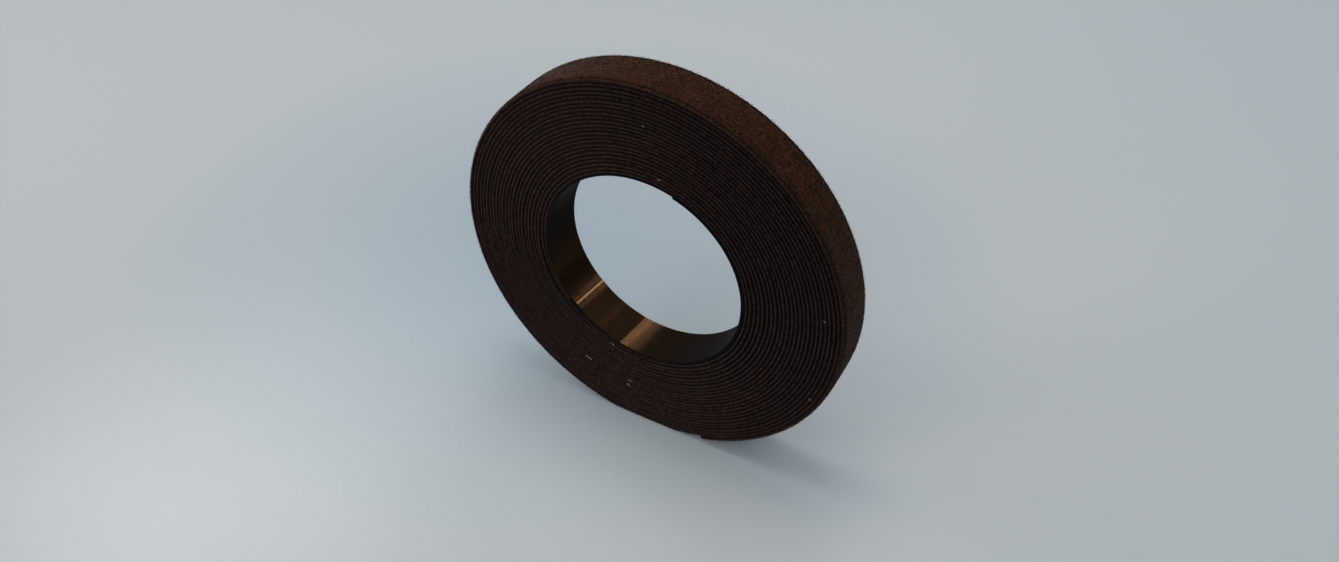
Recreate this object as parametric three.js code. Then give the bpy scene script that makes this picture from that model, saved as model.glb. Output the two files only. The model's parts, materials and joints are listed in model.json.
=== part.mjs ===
// Hook and loop tape roll: one long back-to-back tape, wound flat on a coiled plastic core strip.
// Millimetres, +Z up. The roll's axis lies along Y, and the face that shows most looks to -Y.
// The origin is on the face that the roll stands on, under its axis and midway across the tape.
import * as THREE from 'three';

// The tape: a hook ply inside and a loop ply outside, bonded back to back
const TAPE_WIDTH = 20;
const HOOK_PLY = 0.55;
const LOOP_PLY = 0.55;
const BOND_LINE = 0.05;
const PILE_GAP = 0.5;
const TAPE_TURNS = 23;

// The core: a plain plastic strip, set in a little from both faces and coiled so that its ends overlap
const BORE_RADIUS = 44.4;
const CORE_INSET = 0.2;
const CORE_THICKNESS = 0.5;
const CORE_SLACK = 0.45;
const CORE_LAPS = 1;

// Where the strips end, in degrees anticlockwise from +X, seen from the front
const FREE_END_ANGLE = 289;
const PEEL_SPAN = 71;
const SEAM_ANGLE = 219;
const CORE_TIP_ANGLE = 72.5;

// The clearance between strips that meet end to end
const END_GAP = 0.3;

// Each turn is drawn as flat lengths, the lowest of which is the foot that the roll stands on
const FACETS = 22;
const FOOT_ANGLE = 270;

const tapeThickness = HOOK_PLY + BOND_LINE + LOOP_PLY;
const tapePitch = tapeThickness + PILE_GAP;
const corePitch = CORE_THICKNESS + CORE_SLACK;
const coreWidth = TAPE_WIDTH - 2 * CORE_INSET;

// A place along a strip is counted in turns from the foot. The strips run outwards clockwise.
function turnsFromFoot(angle) {
  return THREE.MathUtils.euclideanModulo(FOOT_ANGLE - angle, 360) / 360;
}

const seam = turnsFromFoot(SEAM_ANGLE);
const coreTip = turnsFromFoot(CORE_TIP_ANGLE) - CORE_LAPS - 1;
const freeEnd = TAPE_TURNS + turnsFromFoot(FREE_END_ANGLE);
const peelLine = freeEnd - PEEL_SPAN / 360;

// The spiral climbs one layer a turn, all of it away from the foot, which stays level
function climb(turn) {
  const fromFoot = turn + 0.5 / FACETS;
  const lap = Math.floor(fromFoot);
  const pastFoot = Math.max(0, fromFoot - lap - 1 / FACETS);
  return lap + pastFoot / (1 - 1 / FACETS);
}

function coreInside(turn) {
  return BORE_RADIUS + corePitch * (climb(turn) - climb(coreTip));
}

function coreOutside(turn) {
  return coreInside(turn) + CORE_THICKNESS;
}

// The first turn of tape carries the core's spiral on, and clears a core thicker than the tape
const firstTurnRadius = coreInside(seam) + Math.max(0, corePitch - tapePitch);

function hookInside(turn) {
  return firstTurnRadius + tapePitch * (climb(turn) - climb(seam));
}

function hookOutside(turn) {
  return hookInside(turn) + HOOK_PLY;
}

function loopInside(turn) {
  return hookOutside(turn) + BOND_LINE;
}

function loopOutside(turn) {
  return loopInside(turn) + LOOP_PLY;
}

// The corner where two flat lengths of a winding meet, as X and Z about the roll's axis
function corner(radiusAt, index) {
  const turn = (index + 0.5) / FACETS;
  const angle = THREE.MathUtils.degToRad(FOOT_ANGLE - 360 * turn);
  return new THREE.Vector2(Math.cos(angle), Math.sin(angle)).multiplyScalar(radiusAt(turn));
}

function pointAt(radiusAt, turn) {
  const place = turn * FACETS - 0.5;
  const index = Math.floor(place);
  return corner(radiusAt, index).lerp(corner(radiusAt, index + 1), place - index);
}

// The start, every corner between, and the end
function stations(start, end) {
  const nearest = 0.01;
  const places = [start];
  const first = Math.ceil(start * FACETS - 0.5 + nearest);
  const last = Math.floor(end * FACETS - 0.5 - nearest);
  for (let index = first; index <= last; index += 1) {
    places.push((index + 0.5) / FACETS);
  }
  places.push(end);
  return places;
}

// One unbroken strip of oblong section, closed at both ends
function stripGeometry(insideAt, outsideAt, width, start, end) {
  const places = stations(start, end);
  const positions = [];
  const triangles = [];
  for (const turn of places) {
    const inside = pointAt(insideAt, turn);
    const outside = pointAt(outsideAt, turn);
    positions.push(inside.x, -width / 2, inside.y);
    positions.push(outside.x, -width / 2, outside.y);
    positions.push(outside.x, width / 2, outside.y);
    positions.push(inside.x, width / 2, inside.y);
  }
  for (let step = 0; step + 1 < places.length; step += 1) {
    const here = 4 * step;
    const next = here + 4;
    for (let side = 0; side < 4; side += 1) {
      const other = (side + 1) % 4;
      triangles.push(here + side, next + side, next + other);
      triangles.push(here + side, next + other, here + other);
    }
  }
  const tail = 4 * (places.length - 1);
  triangles.push(0, 1, 2, 0, 2, 3);
  triangles.push(tail, tail + 2, tail + 1, tail, tail + 3, tail + 2);

  const geometry = new THREE.BufferGeometry();
  geometry.setAttribute('position', new THREE.Float32BufferAttribute(positions, 3));
  geometry.setIndex(triangles);
  geometry.computeVertexNormals();
  return geometry;
}

function gapInTurns(turn) {
  return END_GAP / (2 * Math.PI * hookInside(turn));
}

const loopPile = new THREE.MeshStandardMaterial({ color: 0x382619, roughness: 0.95, metalness: 0 });
const hookFilm = new THREE.MeshStandardMaterial({ color: 0x1c1310, roughness: 0.7, metalness: 0 });
const corePlastic = new THREE.MeshStandardMaterial({ color: 0x2a1d13, roughness: 0.25, metalness: 0 });
for (const material of [loopPile, hookFilm, corePlastic]) {
  material.flatShading = true;
}

const roll = new THREE.Group();
roll.name = 'hook_and_loop_tape_roll';

// The roll's axis is as high as the last whole turn's foot is far below it
roll.position.z = -pointAt(loopOutside, Math.floor(freeEnd)).y;

function addStrip(name, insideAt, outsideAt, width, start, end, material) {
  const strip = new THREE.Mesh(stripGeometry(insideAt, outsideAt, width, start, end), material);
  strip.name = name;
  roll.add(strip);
}

// The core strip ends just short of the place where the tape begins
const coreEnd = seam - gapInTurns(seam);
addStrip('core_strip', coreInside, coreOutside, coreWidth, coreTip, coreEnd, corePlastic);

// The wound tape, up to the line where its free end peels away
addStrip('hook_ply', hookInside, hookOutside, TAPE_WIDTH, seam, peelLine, hookFilm);
addStrip('loop_ply', loopInside, loopOutside, TAPE_WIDTH, seam, peelLine, loopPile);

// The free end, which turns about the loop ply's outer face at the peel line
const endRoot = peelLine + gapInTurns(peelLine);
addStrip('hook_free_end', hookInside, hookOutside, TAPE_WIDTH, endRoot, freeEnd, hookFilm);
addStrip('loop_free_end', loopInside, loopOutside, TAPE_WIDTH, endRoot, freeEnd, loopPile);

// The least distance between the outside of one turn and the inside of the next, over close points
function leastGap(insideAt, outsideAt, start, end) {
  const pointsPerTurn = 8 * FACETS;
  const nearby = 8;
  let least = Infinity;
  for (let index = Math.ceil(start * pointsPerTurn); index + pointsPerTurn <= end * pointsPerTurn; index += 1) {
    const below = pointAt(outsideAt, index / pointsPerTurn);
    for (let shift = -nearby; shift <= nearby; shift += 1) {
      const above = pointAt(insideAt, (index + shift) / pointsPerTurn + 1);
      least = Math.min(least, below.distanceTo(above));
    }
  }
  return least.toFixed(3);
}

const peelAxis = pointAt(loopOutside, peelLine);
console.log(`core strip, least gap to itself: ${leastGap(coreInside, coreOutside, coreTip, coreEnd)} mm`);
console.log(`hook ply, least gap to itself: ${leastGap(hookInside, hookOutside, seam, peelLine)} mm`);
console.log(`loop ply, least gap to itself: ${leastGap(loopInside, loopOutside, seam, peelLine)} mm`);
console.log(`both plies, least gap to the next turn: ${leastGap(hookInside, loopOutside, seam, freeEnd)} mm`);
console.log(`axis height ${roll.position.z.toFixed(3)} mm, foot ${(freeEnd - seam).toFixed(3)} turns out`);
console.log(`peel line at X ${peelAxis.x.toFixed(3)}, Z ${(peelAxis.y + roll.position.z).toFixed(3)} mm`);

export default roll;
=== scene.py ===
import json
import math

import bpy
import numpy as np
from mathutils import Euler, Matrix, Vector


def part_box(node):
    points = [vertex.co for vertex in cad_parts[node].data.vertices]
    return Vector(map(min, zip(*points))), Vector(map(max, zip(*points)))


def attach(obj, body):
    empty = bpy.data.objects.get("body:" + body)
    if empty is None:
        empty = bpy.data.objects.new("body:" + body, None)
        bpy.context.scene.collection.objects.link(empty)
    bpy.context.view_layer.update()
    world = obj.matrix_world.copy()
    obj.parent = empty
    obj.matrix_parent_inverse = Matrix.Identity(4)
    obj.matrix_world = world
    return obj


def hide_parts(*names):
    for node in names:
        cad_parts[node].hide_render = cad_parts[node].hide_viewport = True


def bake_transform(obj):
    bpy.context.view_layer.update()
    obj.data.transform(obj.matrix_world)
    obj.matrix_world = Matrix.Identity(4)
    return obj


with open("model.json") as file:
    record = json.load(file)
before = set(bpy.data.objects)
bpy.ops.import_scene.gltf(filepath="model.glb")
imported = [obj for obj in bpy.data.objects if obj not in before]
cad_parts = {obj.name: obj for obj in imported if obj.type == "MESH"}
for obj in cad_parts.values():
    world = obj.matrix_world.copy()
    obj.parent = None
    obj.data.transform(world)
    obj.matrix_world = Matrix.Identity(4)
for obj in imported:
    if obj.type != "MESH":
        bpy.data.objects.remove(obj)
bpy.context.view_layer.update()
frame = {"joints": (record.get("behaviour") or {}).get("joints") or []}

# The view of the standing roll
# It is seen from above and from its right, so that the open face, the bore and the rim all show.
# The peel line is level with the roll's axis, which gives the axis its height above the table.
AXIS_HEIGHT = frame["joints"][0]["pos_m"][2]
VIEW_DOWN = 40.39
VIEW_ASIDE = 29.57
VIEW_TURN = Euler((math.radians(90 - VIEW_DOWN), 0, math.radians(VIEW_ASIDE)))
VIEW_OFFSET = Vector((0.00638, -0.00844, 0.4527))
SENSOR_WIDTH = 36
LENS = 30.21

camera = bpy.data.objects.new("camera", bpy.data.cameras.new("camera"))
bpy.context.scene.collection.objects.link(camera)
bpy.context.scene.camera = camera
camera.data.sensor_width = SENSOR_WIDTH
camera.data.lens = LENS
camera.rotation_euler = VIEW_TURN
camera.location = Vector((0, 0, AXIS_HEIGHT)) + VIEW_TURN.to_matrix() @ VIEW_OFFSET


# The core strip
# A band of smooth black plastic, coiled about one and a half times inside the tape. Its inner end is
# a low step in the bore. It was bent too far twice, which left a sharp crease and a shallow bend.
CORE_THICKNESS = 0.0007
CORE_PITCH = 0.00075
CORE_EASE = 0.00012
BORE_RADIUS = 0.0439
CORE_TIP = -1.4514
CORE_END = 0.1410
CORE_STEPS = 576
CREASE = 0.1285 - 1
CREASE_HEIGHT = 0.00026
CREASE_NEAR = 0.0004
CREASE_FAR = 0.0032
CREASE_REACH = (-0.035, 0.02)
CREASE_STEPS = 221
BEND = 0.0395 - 1
BEND_DEPTH = 0.00016
BEND_LEFT = 0.0017
BEND_RIGHT = 0.0036
BEND_REACH = (-0.03, 0.02)
BEND_STEPS = 101
SKEW = 0.0024
CREASE_HIGHLIGHT_WIDTH = 0.001
CUT_SIDES = (0, 1, 2, 4, 5, 6)
SHARP_CORNER = math.radians(32)
PLASTIC_BODY = (0.0102, 0.0078, 0.0064, 1)
GLOSS_DARK = (0.02, 0.0096, 0.0042, 1)
GLOSS_LIGHT = (0.034, 0.0164, 0.0074, 1)
GLOSS_EDGE = (0.5, 0.52, 0.55, 1)
GLOSS_RISE = 3.5
GLOSS_DROP = 1.4
# Painted highlight: a band of far brighter gloss along the crease, standing in for the line of light
# that the crease catches.
CREASE_HIGHLIGHT_DARK = (0.175, 0.095, 0.043, 1)
CREASE_HIGHLIGHT_LIGHT = (0.395, 0.218, 0.1, 1)
CUT_DARK = (0.0035, 0.0023, 0.0018, 1)
CUT_LIGHT = (0.009, 0.0059, 0.0046, 1)
core_low, core_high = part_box("core_strip")
CORE_WIDTH = core_high.y - core_low.y


def place(turn, radius, across):
    """Points on the roll. A place along a strip is in turns from the foot, clockwise and outwards."""
    angle = math.radians(270) - 2 * math.pi * turn
    height = AXIS_HEIGHT + radius * np.sin(angle)
    return np.stack(np.broadcast_arrays(radius * np.cos(angle), across, height), axis=-1)


def eased_oblong(thickness, width, ease):
    """A strip's section as outward and sideways places, with its four corners eased."""
    half = width / 2
    front = [(0, -half + ease), (ease, -half), (thickness - ease, -half), (thickness, -half + ease)]
    back = [(out, -side) for out, side in reversed(front)]
    return np.array(front + back)


def mesh_piece(name, points, faces, material):
    """A new object from points and faces, smooth except across its own corners."""
    mesh = bpy.data.meshes.new(name)
    mesh.from_pydata(points.tolist(), [], faces)
    mesh.shade_smooth()
    mesh.set_sharp_from_angle(angle=SHARP_CORNER)
    mesh.materials.append(material)
    made = bpy.data.objects.new(name, mesh)
    bpy.context.scene.collection.objects.link(made)
    return made


def swept_faces(count, sides):
    """The faces of a tube of rings, closed at both ends."""
    here = np.arange(count - 1)[:, None] * sides + np.arange(sides)[None, :]
    beside = np.roll(here, -1, axis=1)
    walls = np.stack([here, here + sides, beside + sides, beside], axis=-1).reshape(-1, 4)
    last = (count - 1) * sides
    ends = [list(range(sides)), list(range(last + sides - 1, last - 1, -1))]
    return walls.tolist() + ends


def swept(rings):
    """The points and faces of the tube that passes through some rings of points."""
    return rings.reshape(-1, 3), swept_faces(*rings.shape[:2])


class Wire:
    """A socket in a material's nodes. Arithmetic on wires adds the Math nodes that it needs."""

    def __init__(self, tree, socket=None):
        self.tree = tree
        self.socket = socket

    def node(self, kind, settings, sockets, output=0):
        made = self.tree.nodes.new("ShaderNode" + kind)
        for name, value in settings.items():
            setattr(made, name, value)
        for name, value in sockets.items():
            if isinstance(value, Wire):
                self.tree.links.new(value.socket, made.inputs[name])
            else:
                made.inputs[name].default_value = value
        return Wire(self.tree, made.outputs[output])

    def feed(self, socket):
        self.tree.links.new(self.socket, socket)

    def maths(self, operation, first, second):
        return self.node("Math", {"operation": operation}, {0: first, 1: second})

    def __add__(self, other):
        return self.maths("ADD", self, other)

    def __sub__(self, other):
        return self.maths("SUBTRACT", self, other)

    def __rsub__(self, other):
        return self.maths("SUBTRACT", other, self)

    def __mul__(self, other):
        return self.maths("MULTIPLY", self, other)

    __radd__ = __add__
    __rmul__ = __mul__


def new_material(name):
    """A material with its wires and its surface shader."""
    made = bpy.data.materials.new(name)
    made.use_nodes = True
    return made, Wire(made.node_tree), made.node_tree.nodes["Principled BSDF"]


def grain(wires, scale, detail):
    """Noise of a given number of grains to the metre, from 0 to 1."""
    spot = wires.node("TexCoord", {}, {}, "Object")
    return wires.node("TexNoise", {}, {"Vector": spot, "Scale": scale, "Detail": detail})


def streaks(wires, scale, detail):
    """Noise that is drawn out across the roll, as along the edge of a scraper."""
    spot = wires.node("TexCoord", {}, {}, "Object")
    drawn = wires.node("VectorMath", {"operation": "MULTIPLY"}, {0: spot, 1: (1, 0.12, 1)})
    return wires.node("TexNoise", {}, {"Vector": drawn, "Scale": scale, "Detail": detail})


def between(wires, share, first, second):
    """The colour that lies a share of the way from one colour to another."""
    return wires.node("Mix", {"data_type": "RGBA"}, {0: share, 6: first, 7: second}, 2)


def colour_surface(surface, colour):
    """Gives a surface a colour that changes over it."""
    colour.feed(surface.inputs["Base Color"])


def raise_surface(surface, height, strength, distance):
    """Gives a surface fine bumps."""
    bump = height.node("Bump", {}, {"Height": height, "Strength": strength, "Distance": distance})
    bump.feed(surface.inputs["Normal"])


def set_evenly(surface, values):
    """Sets what is the same all over a surface."""
    for name, value in values.items():
        surface.inputs[name].default_value = value


def glossy_brown(name, dark, light):
    """A black plastic with a deep brown gloss, which dies away where it is seen along the surface."""
    made, wires, surface = new_material(name)
    smears = 2 * streaks(wires, 130, 3) - 0.5
    colour_surface(surface, between(wires, smears, dark, light))
    (0.11 + 0.12 * smears).feed(surface.inputs["Roughness"])
    set_evenly(surface, {"Metallic": 1, "Specular Tint": GLOSS_EDGE})
    raise_surface(surface, grain(wires, 160, 2), 0.1, 0.0006)
    body_finish = {"Base Color": PLASTIC_BODY, "Roughness": 0.4, "Specular IOR Level": 0.004}
    body = wires.node("BsdfPrincipled", {}, body_finish)
    slant = wires.node("LayerWeight", {}, {"Blend": 0.5}, "Facing")
    gloss = wires.node("Clamp", {}, {"Value": GLOSS_RISE * (1 - slant) - GLOSS_DROP})
    both = wires.node("MixShader", {}, {0: gloss, 1: body, 2: Wire(wires.tree, surface.outputs[0])})
    both.feed(made.node_tree.nodes["Material Output"].inputs["Surface"])
    return made


def slope_back(past, near, far):
    """A bend across the strip, which dies away at its own rate on each side."""
    return np.exp(-np.abs(past) / np.where(past > 0, far, near))


core_plastic = glossy_brown("core_plastic", GLOSS_DARK, GLOSS_LIGHT)
# The band along the crease has a painted highlight: its gloss is made many times brighter than the rest
# of the core.
stressed_plastic = glossy_brown("stressed_plastic", CREASE_HIGHLIGHT_DARK, CREASE_HIGHLIGHT_LIGHT)
cut_plastic, wires, surface = new_material("cut_plastic")
scrapes = grain(wires, 900, 2)
colour_surface(surface, between(wires, scrapes, CUT_DARK, CUT_LIGHT))
set_evenly(surface, {"Roughness": 0.65, "Specular IOR Level": 0.03})

core_turns = np.unique(np.concatenate([
    np.linspace(CORE_TIP, CORE_END, CORE_STEPS),
    CREASE + np.linspace(*CREASE_REACH, CREASE_STEPS),
    BEND + np.linspace(*BEND_REACH, BEND_STEPS),
]))
past_crease = (CREASE - core_turns) * 2 * math.pi * BORE_RADIUS
past_bend = (BEND - core_turns) * 2 * math.pi * BORE_RADIUS
core_radius = BORE_RADIUS + CORE_PITCH * (core_turns - CORE_TIP)
core_radius = core_radius - CREASE_HEIGHT * slope_back(past_crease, CREASE_NEAR, CREASE_FAR)
core_radius = core_radius + BEND_DEPTH * slope_back(past_bend, BEND_LEFT, BEND_RIGHT)
core_section = eased_oblong(CORE_THICKNESS, CORE_WIDTH, CORE_EASE)
skewed_turns = core_turns[:, None] - SKEW * core_section[:, 1] / (CORE_WIDTH / 2)
core_rings = place(skewed_turns, core_radius[:, None] + core_section[:, 0], core_section[:, 1])
core_strip = mesh_piece("core_band", *swept(core_rings), core_plastic)
core_strip.data.materials.append(stressed_plastic)
core_strip.data.materials.append(cut_plastic)
for face in core_strip.data.polygons:
    step, side = divmod(face.index, len(core_section))
    if side in CUT_SIDES:
        face.material_index = 2
    # Faces within the band along the crease take the painted highlight.
    elif abs(past_crease[step]) < CREASE_HIGHLIGHT_WIDTH / 2:
        face.material_index = 1
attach(core_strip, "roll")
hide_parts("core_strip")


# The hook ply
# The tape's inner layer: a brown-black film, moulded with fine hooks on the side that faces the core.
# It is wound with the loop ply in one long spiral, so only its cut edges show on the roll's faces.
SEAM = 0.1417
FREE_END = 23.9472
PEEL_SPAN = 71
PEEL_LINE = FREE_END - PEEL_SPAN / 360
FIRST_RADIUS = 0.04515
LAST_RADIUS = 0.08457
TURN_PITCH = (LAST_RADIUS - FIRST_RADIUS) / (FREE_END - SEAM)
OFF_CENTRE = np.array([0.0009, 0, -0.0003])
HUGGING_TURNS = 6
HUGGING_SHARE = 0.87
SLACK = 0.0007
SLACK_MIDDLE = 0.186
SLACK_SPREAD = 0.06
SLACK_FROM = 1.6
SLACK_RISE = 0.2
SLACK_TO = 16
WANDER = ((0.00014, 2.3, 0), (0.00011, 5.9, 1), (0.00005, 13.1, 2))
FILM_THICKNESS = 0.00045
FILM_INSET = 0.0005
CLOTH_THICKNESS = 0.0007
PILE_HEIGHT = 0.00045
RIM_PILE = 0.00065
EDGE_EASE = 0.00008
STEPS_PER_TURN = 180
SHORT_STEP = 0.0001
PRESSED_LAYERS = 0.009
LEAST_DOWNWARDS = 0.2
FILM_DARK = (0.0036, 0.0022, 0.0019, 1)
FILM_LIGHT = (0.0115, 0.007, 0.0059, 1)
tape_low, tape_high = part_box("loop_ply")
TAPE_WIDTH = tape_high.y - tape_low.y


def slack(turn):
    """How far the tape stands off on the left of the bore, where the third turn was wound loosely."""
    from_middle = (turn - SLACK_MIDDLE + 0.5) % 1 - 0.5
    begun = np.clip((turn - SLACK_FROM) / SLACK_RISE, 0, 1)
    taken_up = np.clip((SLACK_TO - turn) / (SLACK_TO - SLACK_FROM), 0, 1)
    return SLACK * begun * taken_up * np.exp(-(from_middle / SLACK_SPREAD) ** 2)


def film_radius(turn):
    """The inside of the tape at a place along it. The first turns hug the core and climb its seam."""
    lap, share = np.divmod(turn - SEAM, 1)
    hugging = np.minimum(share, (1 - share) * HUGGING_SHARE / (1 - HUGGING_SHARE))
    fading = np.maximum(0, 1 - lap / HUGGING_TURNS)
    climbed = TURN_PITCH * (turn - SEAM) - (TURN_PITCH - CORE_PITCH) * hugging * fading
    return FIRST_RADIUS + climbed + slack(turn)


def rim_radius(turn):
    """The outside of the pile on the outer turn, near the foot."""
    lap = math.floor(FREE_END) + (turn + 0.5) % 1 - 0.5
    return film_radius(lap) + FILM_THICKNESS + CLOTH_THICKNESS + RIM_PILE


def wander(turn):
    """How far the tape strays sideways as it is wound, a little differently on each turn."""
    return sum(size * np.sin(rate * turn + start) for size, rate, start in WANDER)


def on_tape(turn, outwards, across):
    """Points on the wound tape, with its outer layers pressed flat where the roll stands."""
    radius = film_radius(turn) + outwards
    downwards = np.maximum(np.cos(2 * math.pi * turn), LEAST_DOWNWARDS)
    excess = np.maximum(0, rim_radius(turn) - (AXIS_HEIGHT + OFF_CENTRE[2]) / downwards)
    share = np.clip((radius - rim_radius(turn)) / PRESSED_LAYERS + 1, 0, 1)
    grown = (radius - FIRST_RADIUS) / (LAST_RADIUS - FIRST_RADIUS)
    return place(turn, radius - excess * share, across + wander(turn)) + grown[..., None] * OFF_CENTRE


def along_tape(turn, outwards, across):
    """The way that the tape runs at points on it, as steps of unit length."""
    ahead = on_tape(turn + SHORT_STEP, outwards, across) - on_tape(turn, outwards, across)
    return ahead / np.linalg.norm(ahead, axis=1, keepdims=True)


def tape_length(turns, section):
    """The points and faces of one length of a ply, with its section carried along the winding."""
    return swept(on_tape(turns[:, None], section[:, 0], section[:, 1]))


def steps_along(start, end, per_turn):
    """Places along the tape, evenly spaced, with both ends among them."""
    return np.linspace(start, end, 1 + math.ceil((end - start) * per_turn))


hook_film, wires, surface = new_material("hook_film")
scuffs = grain(wires, 700, 4)
colour_surface(surface, between(wires, 2 * scuffs - 0.5, FILM_DARK, FILM_LIGHT))
(0.5 + 0.25 * scuffs).feed(surface.inputs["Roughness"])
set_evenly(surface, {"Specular IOR Level": 0.06})
raise_surface(surface, scuffs, 0.3, 0.0001)

film_section = eased_oblong(FILM_THICKNESS, TAPE_WIDTH - 2 * FILM_INSET, EDGE_EASE)
wound_turns = steps_along(SEAM, PEEL_LINE, STEPS_PER_TURN)
wound_film = mesh_piece("wound_hook_film", *tape_length(wound_turns, film_section), hook_film)
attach(wound_film, "roll")
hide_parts("hook_ply")


# The loop ply
# The tape's outer layer: a knitted cloth with a brushed pile of loops, bonded to the hook film.
# Between turns the pile is held down by the next turn's hooks, and it shows as a dark line: it lies in
# shade in the groove, and its colour is darkened further there as painted shade.
PILE_INSET = 0.0006
PILE_SIDES = (8, 9, 10)
CLOTH_EASE = 0.0002
WARM_DARK = (0.0079, 0.0042, 0.0034, 1)
WARM_LIGHT = (0.045, 0.0236, 0.019, 1)
COOL_DARK = (0.0074, 0.0047, 0.0038, 1)
COOL_LIGHT = (0.042, 0.0264, 0.0206, 1)
GROOVE_SHADE_DARK = (0.0037, 0.0021, 0.0018, 1)
GROOVE_SHADE_LIGHT = (0.0195, 0.0109, 0.009, 1)

cloth, wires, surface = new_material("loop_cloth")
threads = grain(wires, 1100, 3)
tangles = grain(wires, 480, 2)
patches = grain(wires, 120, 2)
shade = 2.4 * threads + 1.0 * tangles - 1.2
warm_cloth = between(wires, shade, WARM_DARK, WARM_LIGHT)
cool_cloth = between(wires, shade, COOL_DARK, COOL_LIGHT)
colour_surface(surface, between(wires, 3 * patches - 1, warm_cloth, cool_cloth))
set_evenly(surface, {"Roughness": 0.92, "Specular IOR Level": 0.03})
raise_surface(surface, threads, 0.5, 0.0002)

# Painted shade: the pile between turns has the cloth's colour darkened to under half, for the groove it
# lies in.
pressed_pile, wires, surface = new_material("pressed_pile")
groove_grain = grain(wires, 900, 2)
colour_surface(surface, between(wires, groove_grain, GROOVE_SHADE_DARK, GROOVE_SHADE_LIGHT))
set_evenly(surface, {"Roughness": 0.95, "Specular IOR Level": 0.02})


def cloth_section(width):
    """The cloth at its full width, soft-edged, with its pile set in a little from both edges."""
    half = width / 2
    outside = FILM_THICKNESS + CLOTH_THICKNESS
    bends = []
    for angle in np.radians([0, 30, 60, 90]):
        bends.append((CLOTH_EASE * (1 - math.sin(angle)), CLOTH_EASE * (1 - math.cos(angle))))
    front = [(FILM_THICKNESS + aside, -half + back) for back, aside in bends]
    front += [(outside - aside, -half + back) for aside, back in bends]
    front += [(outside, -half + PILE_INSET), (outside + PILE_HEIGHT, -half + PILE_INSET + EDGE_EASE)]
    back = [(out, -side) for out, side in reversed(front)]
    return np.array(front + back)


def refinish(piece, material, chosen):
    """Gives a second finish to the chosen ones of a piece's first faces."""
    piece.data.materials.append(material)
    finishes = np.zeros(len(piece.data.polygons), dtype=np.int32)
    finishes[:len(chosen)] = chosen
    piece.data.polygons.foreach_set("material_index", finishes)


wound_section = cloth_section(TAPE_WIDTH)
wound_cloth = mesh_piece("wound_loop_cloth", *tape_length(wound_turns, wound_section), cloth)
walls = np.arange(len(wound_cloth.data.polygons) - 2)
# The pile's faces between turns take the painted groove shade.
refinish(wound_cloth, pressed_pile, np.isin(walls % len(wound_section), PILE_SIDES))
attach(wound_cloth, "roll")
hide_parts("loop_ply")


# The pile on the rim
# On the outer turn the loops stand free. They make a matt, felted rim with a slightly fuzzy outline,
# dark brown where it is lit, and mottled by painted light and shade that stands in for loops leaning
# different ways.
RIM_LENGTH = 2 * math.pi * LAST_RADIUS
RIM_LAP = 0.01
LOOP_PITCH = 0.00085
LOOP_SPAN = 0.00075
LOOP_HEIGHT = 0.00045
LOOP_HEIGHTS = (0.5, 1.3)
LOOP_SHIFTS = (-0.4, 0.4)
LOOP_LEANS = (-0.5, 0.5)
LOOP_FOOT = 0.6
LOOP_ARCH = np.linspace(0.1, 0.9, 5) * math.pi
EDGE_DROP = 0.5
EDGE_POWER = 6
YARN_RADIUS = 0.00007
THREAD_CORNERS = np.radians([0, 120, 240])
MAT_STEP = 0.0007
MAT_ROWS = 29
MAT_SHARE = 0.985
CROWN_POWER = 8
PILE_UNEVENNESS = 0.00012
SETTLED_DEPTH = 0.0005
CUT_EASE = 0.004
CUT_PILE = 0.25
PILE_DARK = (0.0078, 0.0029, 0.0013, 1)
PILE_LIGHT = (0.06, 0.0228, 0.0092, 1)
SHEEN = (1, 0.84, 0.76, 1)
draw = np.random.default_rng(7)

pile, wires, surface = new_material("loop_pile")
tufts = grain(wires, 1500, 2)
mottle = grain(wires, 160, 3)
clumps = grain(wires, 850, 2)
# Painted light and shade: random mottle in the pile's colour, for loops that lean different ways and
# catch the light unevenly.
painted_lean_shading = 1.4 * tufts + 2.0 * clumps + 0.7 * mottle - 1.55
colour_surface(surface, between(wires, painted_lean_shading, PILE_DARK, PILE_LIGHT))
set_evenly(surface, {"Roughness": 0.95, "Specular IOR Level": 0.04})
set_evenly(surface, {"Sheen Weight": 0.13, "Sheen Roughness": 0.35, "Sheen Tint": SHEEN})
raise_surface(surface, tufts, 0.6, 0.0004)


def thread_mesh(paths, sideways, radius):
    """Points and faces of many short threads, each a closed tube of three sides along its path."""
    count, steps, _ = paths.shape
    along = np.gradient(paths, axis=1)
    along /= np.linalg.norm(along, axis=2, keepdims=True)
    sideways = np.broadcast_to(sideways[:, None, :], paths.shape)
    upwards = np.cross(sideways, along)
    corners = THREAD_CORNERS[:, None]
    spokes = np.cos(corners) * upwards[:, :, None, :] + np.sin(corners) * sideways[:, :, None, :]
    points = paths[:, :, None, :] + radius * spokes
    one_thread = swept_faces(steps, len(corners))
    size = steps * len(corners)
    faces = []
    for first in range(0, count * size, size):
        faces.extend([corner + first for corner in face] for face in one_thread)
    return points.reshape(-1, 3), faces


def joined(first, second):
    """Two sets of points and faces as one."""
    shift = len(first[0])
    moved = [[corner + shift for corner in face] for face in second[1]]
    return np.concatenate([first[0], second[0]]), first[1] + moved


def settled(points, faces):
    """The same pile with its lowest loops squeezed on the table instead of passing through it."""
    low = points[:, 2] < SETTLED_DEPTH
    points[low, 2] = SETTLED_DEPTH * np.exp(points[low, 2] / SETTLED_DEPTH - 1)
    return points, faces


def pile_share(turns):
    """How much of the pile stands: all of it, but for the last few millimetres before the cut end."""
    return np.clip((FREE_END - turns) * RIM_LENGTH / CUT_EASE, CUT_PILE, 1)


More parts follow.
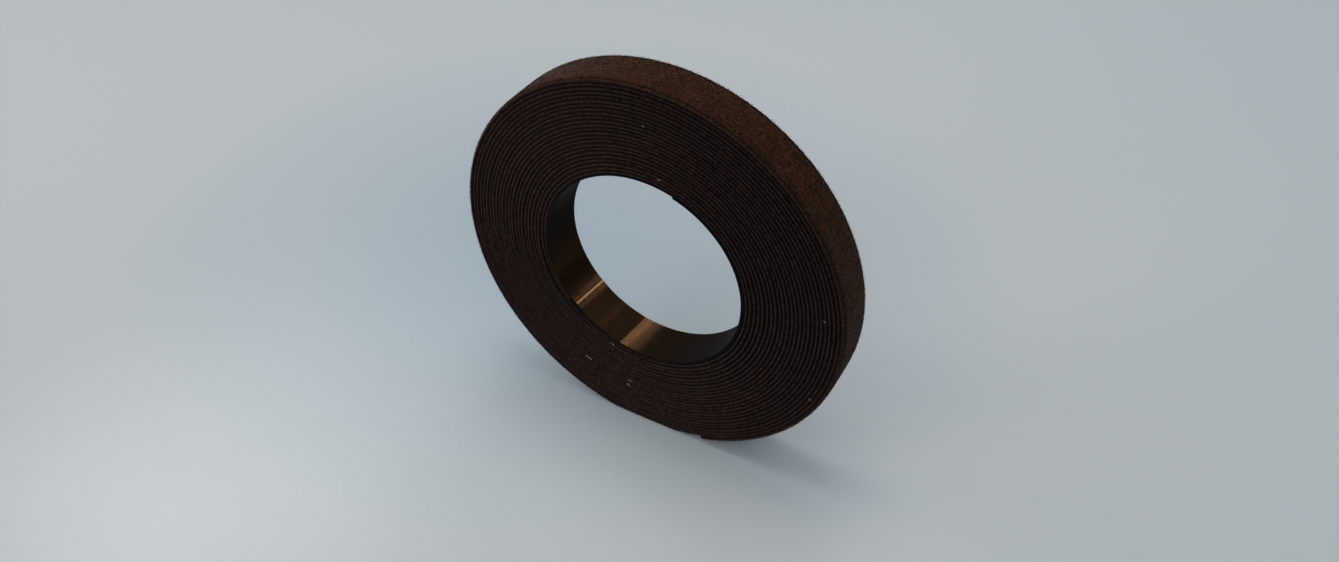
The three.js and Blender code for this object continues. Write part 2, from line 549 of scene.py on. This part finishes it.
def pile_mat(start, end):
    """The felted bed of the pile, uneven all over and rounded down at the tape's edges."""
    turns = steps_along(start, end, RIM_LENGTH / MAT_STEP)
    across = np.linspace(-MAT_SHARE, MAT_SHARE, MAT_ROWS)
    crown = RIM_PILE * (1 - across ** CROWN_POWER)
    bed = FILM_THICKNESS + CLOTH_THICKNESS
    bumps = draw.uniform(-1, 1, (len(turns), len(across))) * PILE_UNEVENNESS
    top = bed + (crown + bumps) * pile_share(turns)[:, None]
    foot = np.full((len(turns), 1), bed)
    outwards = np.concatenate([foot, top, foot], axis=1)
    sides = np.concatenate([across[:1], across, across[-1:]]) * TAPE_WIDTH / 2
    return swept(on_tape(turns[:, None], outwards, sides))


def pile_loops(start, end):
    """Small arches of yarn that stand in the bed, each turned its own way, lower towards the edges."""
    steps = np.arange(0, (end - start) * RIM_LENGTH, LOOP_PITCH)
    rows = np.linspace(-0.5, 0.5, round(TAPE_WIDTH / LOOP_PITCH) - 1) * (TAPE_WIDTH - LOOP_PITCH)
    along, across = np.meshgrid(steps, rows)
    count = along.size
    along = along.ravel() + draw.uniform(*LOOP_SHIFTS, count) * LOOP_PITCH
    turns = np.clip(start + along / RIM_LENGTH, start, end)
    across = across.ravel() + draw.uniform(*LOOP_SHIFTS, count) * LOOP_PITCH
    heading = draw.uniform(0, math.pi, count)
    height = LOOP_HEIGHT * draw.uniform(*LOOP_HEIGHTS, count) * pile_share(turns)
    height *= 1 - EDGE_DROP * np.abs(2 * across / TAPE_WIDTH) ** EDGE_POWER
    lean = draw.uniform(*LOOP_LEANS, count)
    foot = FILM_THICKNESS + CLOTH_THICKNESS + LOOP_FOOT * RIM_PILE * pile_share(turns)
    bed = on_tape(turns, foot, across)
    ahead = along_tape(turns, FILM_THICKNESS, across)
    sideways = np.array([0.0, 1.0, 0.0])
    outwards = np.cross(ahead, sideways)
    run = np.cos(heading)[:, None] * ahead + np.sin(heading)[:, None] * sideways
    flank = np.cross(outwards, run)
    reach = -np.cos(LOOP_ARCH) * LOOP_SPAN / 2
    rise = np.sin(LOOP_ARCH)[None, :] * height[:, None]
    paths = bed[:, None, :] + reach[None, :, None] * run[:, None, :]
    paths += rise[:, :, None] * outwards[:, None, :]
    paths += (lean[:, None] * rise)[:, :, None] * flank[:, None, :]
    return thread_mesh(paths, flank, YARN_RADIUS)


rim_start = PEEL_LINE - 1 - RIM_LAP
rim_threads = joined(pile_mat(rim_start, PEEL_LINE), pile_loops(rim_start, PEEL_LINE))
rim_pile = mesh_piece("rim_pile", *settled(*rim_threads), pile)
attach(rim_pile, "roll")


# The fuzz on the cut edges
# Loose ends of yarn stick out of the cloth where the tape was slit. They lie over the turns on both
# faces of the roll, and break up the dark lines between them.
FUZZ_COUNT = 18000
FUZZ_LENGTH = 0.0008
FUZZ_LENGTHS = (0.4, 1.3)
FUZZ_LIFTS = (0.1, 0.5)
FUZZ_DEPTHS = (0.1, 0.9)
FUZZ_ROOT = 0.1
FUZZ_BENDS = ((0.3, 0.5), (0.65, 0.85), (1.0, 1.0))
FUZZ_RADIUS = 0.00004
OUTER_FUZZ = 0.4
YARN_DARK = (0.014, 0.0077, 0.0062, 1)
YARN_LIGHT = (0.085, 0.047, 0.038, 1)


def edge_threads(start, end, count):
    """Short bent threads with their roots in the cut edges of a length of the cloth, on both faces."""
    places = draw.uniform(start ** 2, end ** 2, count) ** 0.5
    fuzz_side = np.where(np.arange(count) % 2, 1.0, -1.0)
    depth = FILM_THICKNESS + CLOTH_THICKNESS * draw.uniform(*FUZZ_DEPTHS, count)
    root = on_tape(places, depth, fuzz_side * TAPE_WIDTH / 2)
    onward = along_tape(places, depth, fuzz_side * TAPE_WIDTH / 2)
    outward = np.stack([fuzz_side * 0, fuzz_side, fuzz_side * 0], axis=-1)
    sideways = np.cross(onward, outward)
    heading = draw.uniform(0, 2 * math.pi, count)[:, None]
    run = np.cos(heading) * onward + np.sin(heading) * sideways
    length = FUZZ_LENGTH * draw.uniform(*FUZZ_LENGTHS, count)[:, None]
    length *= np.where(places > FREE_END - 1, OUTER_FUZZ, 1)[:, None]
    lift = draw.uniform(*FUZZ_LIFTS, count)[:, None]
    strands = [root - FUZZ_ROOT * length * outward]
    for reach, rise in FUZZ_BENDS:
        strands.append(root + length * (reach * run + rise * lift * outward))
    return thread_mesh(np.stack(strands, axis=1), np.cross(run, outward), FUZZ_RADIUS)


loose_yarn, wires, surface = new_material("loose_yarn")
yarn_tone = grain(wires, 1500, 1)
colour_surface(surface, between(wires, 2 * yarn_tone - 0.5, YARN_DARK, YARN_LIGHT))
set_evenly(surface, {"Roughness": 0.9, "Specular IOR Level": 0.03})
fuzz_threads = edge_threads(SEAM, PEEL_LINE, FUZZ_COUNT)
edge_fuzz = mesh_piece("edge_fuzz", *settled(*fuzz_threads), loose_yarn)
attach(edge_fuzz, "roll")


# The free end
# The last length of the tape, cut square. It lies on the turn below, held by its hooks, from the line
# where it meets the wound tape to its end.
PEEL_BEND = 0.1
BEND_START = place(PEEL_LINE, LAST_RADIUS, 0)
BEND_END = place(PEEL_LINE + PEEL_BEND, LAST_RADIUS, 0)
HOOK_PITCH = 0.0013
HOOK_ROWS = 15
HOOKS_FROM = 0.001
HOOK_HEIGHT = 0.00036
HOOK_RADIUS = 0.0001
HOOK_PROFILE = np.array([(0, -0.1), (0, 0.6), (0.25, 1), (0.7, 0.95), (0.9, 0.6)]) * HOOK_HEIGHT
END_FUZZ_COUNT = 260


def hook_rows(start, end):
    """Rows of moulded hooks on the film's inner side, which lean towards the core and turn over."""
    steps = np.arange(HOOKS_FROM, (end - start) * RIM_LENGTH, HOOK_PITCH)
    rows = (np.arange(HOOK_ROWS) - (HOOK_ROWS - 1) / 2) * HOOK_PITCH
    along, across = np.meshgrid(steps, rows)
    turns = start + along.ravel() / RIM_LENGTH
    across = across.ravel()
    way = np.where(np.arange(len(turns)) % 2, 1.0, -1.0)
    root = on_tape(turns, 0.0, across)
    ahead = along_tape(turns, 0.0, across)
    sideways = np.broadcast_to(np.array([0.0, 1.0, 0.0]), ahead.shape)
    inwards = -np.cross(ahead, sideways)
    paths = root[:, None, :] + HOOK_PROFILE[None, :, :1] * (way[:, None] * ahead)[:, None, :]
    paths = paths + HOOK_PROFILE[None, :, 1:] * inwards[:, None, :]
    return thread_mesh(paths, sideways, HOOK_RADIUS)


end_turns = steps_along(PEEL_LINE, FREE_END, 2 * STEPS_PER_TURN)
end_hooks = joined(tape_length(end_turns, film_section), hook_rows(PEEL_LINE, FREE_END))
end_film = mesh_piece("free_hook_film", *end_hooks, hook_film)
end_strip = tape_length(end_turns, wound_section)
end_threads = joined(end_strip, edge_threads(PEEL_LINE, FREE_END, END_FUZZ_COUNT))
end_cloth = mesh_piece("free_loop_cloth", *end_threads, cloth)
refinish(end_cloth, loose_yarn, np.arange(len(end_threads[1])) >= len(end_strip[1]))
end_loops = joined(pile_mat(PEEL_LINE, FREE_END), pile_loops(PEEL_LINE, FREE_END))
end_pile = mesh_piece("free_end_pile", *end_loops, pile)
for made, slot in ((end_film, "hook_film"), (end_cloth, "loop_pile"), (end_pile, "loop_pile")):
    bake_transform(made)
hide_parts("hook_free_end")
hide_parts("loop_free_end")


# Specks of lint
# A few pale threads of lint on the front face, as such a roll always picks up. They are loose, and
# held only by the fuzz around them. Each has its angle on the roll, its radius and its length.
LINT_SPOTS = (
    (245.1, 0.0651, 0.0034),
    (252.0, 0.0471, 0.0012),
    (264.1, 0.0632, 0.0018),
    (263.7, 0.0662, 0.0016),
    (7.2, 0.079, 0.0011),
    (337.2, 0.0826, 0.0011),
    (79.8, 0.0496, 0.0012),
    (87.9, 0.07, 0.001),
)
LINT_RADIUS = 0.0001
LINT_POINTS = 6
LINT_SLOPES = (-0.6, -0.2)
LINT_CURLS = (-0.6, 0.6)
LINT_CURL = 0.0003
LINT_LIFT = 0.0005
LINT_DARK = (0.2, 0.17, 0.15, 1)
LINT_LIGHT = (0.4, 0.35, 0.31, 1)

lint_thread, wires, surface = new_material("lint_thread")
strand_tone = grain(wires, 2000, 1)
colour_surface(surface, between(wires, strand_tone, LINT_DARK, LINT_LIGHT))
set_evenly(surface, {"Roughness": 0.8})
paths = []
for degrees, radius, length in LINT_SPOTS:
    heading = draw.uniform(*LINT_SLOPES)
    curl = draw.uniform(*LINT_CURLS, LINT_POINTS) * LINT_CURL
    reach = np.linspace(-0.5, 0.5, LINT_POINTS) * length
    middle = place((270 - degrees) / 360, radius, -TAPE_WIDTH / 2 - LINT_LIFT)
    ahead = np.array([math.cos(heading), 0, math.sin(heading)])
    aside = np.array([-math.sin(heading), 0, math.cos(heading)])
    paths.append(middle + reach[:, None] * ahead + curl[:, None] * aside)
toward_front = np.tile([0.0, -1.0, 0.0], (len(paths), 1))
lint = mesh_piece("lint", *thread_mesh(np.array(paths), toward_front, LINT_RADIUS), lint_thread)
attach(lint, "roll")


# The table top
# A plain pale sheet of paper under the roll, wide enough to fill the view. It is grey, with a painted
# shade
# around the roll: darker and bluer near it, fading out further away.
TABLE_REACH = 4
PAINTED_SHADE_CENTRE = (-0.098, 0.066, 0)
PAINTED_SHADE_REACH = 0.26
PAINTED_SHADE_DARK = (0.305, 0.363, 0.405, 1)
PAINTED_SHADE_LIGHT = (0.331, 0.389, 0.431, 1)
GREY_DARK = (0.472, 0.478, 0.484, 1)
GREY_LIGHT = (0.498, 0.504, 0.51, 1)

table, wires, surface = new_material("table_paper")
fibre = grain(wires, 500, 3)
# Painted shade: a darker, bluer tone around the roll that blends to the paper's own grey with distance.
painted_shade_tone = between(wires, fibre, PAINTED_SHADE_DARK, PAINTED_SHADE_LIGHT)
grey_tone = between(wires, fibre, GREY_DARK, GREY_LIGHT)
spot = wires.node("TexCoord", {}, {}, "Object")
away = wires.node("VectorMath", {"operation": "DISTANCE"}, {0: spot, 1: PAINTED_SHADE_CENTRE}, "Value")
smooth = {"interpolation_type": "SMOOTHSTEP"}
far_share = wires.node("MapRange", smooth, {"Value": away, "From Min": 0, "From Max": PAINTED_SHADE_REACH})
colour_surface(surface, between(wires, far_share, painted_shade_tone, grey_tone))
set_evenly(surface, {"Roughness": 0.85})
corners = np.array([(-1, -1, 0), (1, -1, 0), (1, 1, 0), (-1, 1, 0)]) * TABLE_REACH
floor = mesh_piece("table_top", corners, [[0, 1, 2, 3]], table)


# The light
# A soft lamp overhead lights the table and the rim, one with a grid lights the face low on the left,
# and an even surround fills the shadows. Small lamps behind the roll show as streaks along its bore.
LOW_LEFT = (-0.055, 0, 0.044)
GRID_CONE = math.radians(80)
WHITE = (1, 1, 1)
SKY_COLOUR = (0.83, 1.0, 1.13, 1)
SKY_LEVEL = 0.4
SKY_RISE = 0.2
SKY_TILT = 0.14


def lamp(name, towards, distance, width, height, radiance, colour, aim=(0, 0, AXIS_HEIGHT), cone=None):
    """A soft lamp at a distance from what it is aimed at. A grid can hold its light to a cone."""
    light = bpy.data.lights.new(name, "AREA")
    light.shape = "RECTANGLE"
    light.size = width
    light.size_y = height
    light.energy = radiance * math.pi * width * height
    light.color = colour
    if cone:
        light.spread = cone
        light.energy *= 1 - cone / 2 / math.tan(cone / 2)
    made = bpy.data.objects.new(name, light)
    bpy.context.scene.collection.objects.link(made)
    direction = Vector(towards).normalized()
    made.location = Vector(aim) + direction * distance
    made.rotation_euler = direction.to_track_quat("Z", "Y").to_euler()


lamp("overhead_lamp", (-0.1, 0.08, 1), 1.6, 0.7, 0.7, 5.5, (1, 0.905, 0.81))
lamp("left_lamp", (-0.8, -0.15, 0.6), 1.0, 0.5, 0.5, 2.2, (1, 0.94, 0.87))
lamp("front_lamp", (-0.145, -0.26, 0.096), 0.313, 0.16, 0.16, 9.0, (1, 0.95, 0.89), LOW_LEFT, GRID_CONE)
lamp("back_panel", (0.3, 0.66, 0.66), 1.3, 1.0, 0.5, 0.3, WHITE)
lamp("bore_lamp", (-0.145, 0.66, 0.735), 1.2, 0.11, 0.2, 7.0, WHITE)
lamp("bore_lamp_edge", (-0.24, 0.66, 0.705), 1.2, 0.2, 0.2, 2.0, WHITE)
lamp("bore_lamp_low", (-0.745, 0.662, 0.077), 1.2, 0.04, 0.25, 0.7, WHITE)
lamp("bore_lamp_faint", (0.3185, 0.66, 0.665), 1.2, 0.07, 0.2, 0.6, WHITE)
lamp("far_lamp", (0.664, 0.66, 0.352), 1.4, 0.12, 0.25, 3.6, WHITE)

surround = bpy.data.worlds.new("surround")
surround.use_nodes = True
bpy.context.scene.world = surround
sky = Wire(surround.node_tree)
direction = sky.node("TexCoord", {}, {}, "Generated")
height = sky.node("SeparateXYZ", {}, {"Vector": direction}, "Z")
rightness = sky.node("SeparateXYZ", {}, {"Vector": direction}, "X")
overhead = sky.node("Clamp", {}, {"Value": height})
background = surround.node_tree.nodes["Background"]
background.inputs["Color"].default_value = SKY_COLOUR
(SKY_LEVEL + SKY_RISE * overhead - SKY_TILT * rightness).feed(background.inputs["Strength"])
bpy.context.scene.view_settings.view_transform = "Standard"
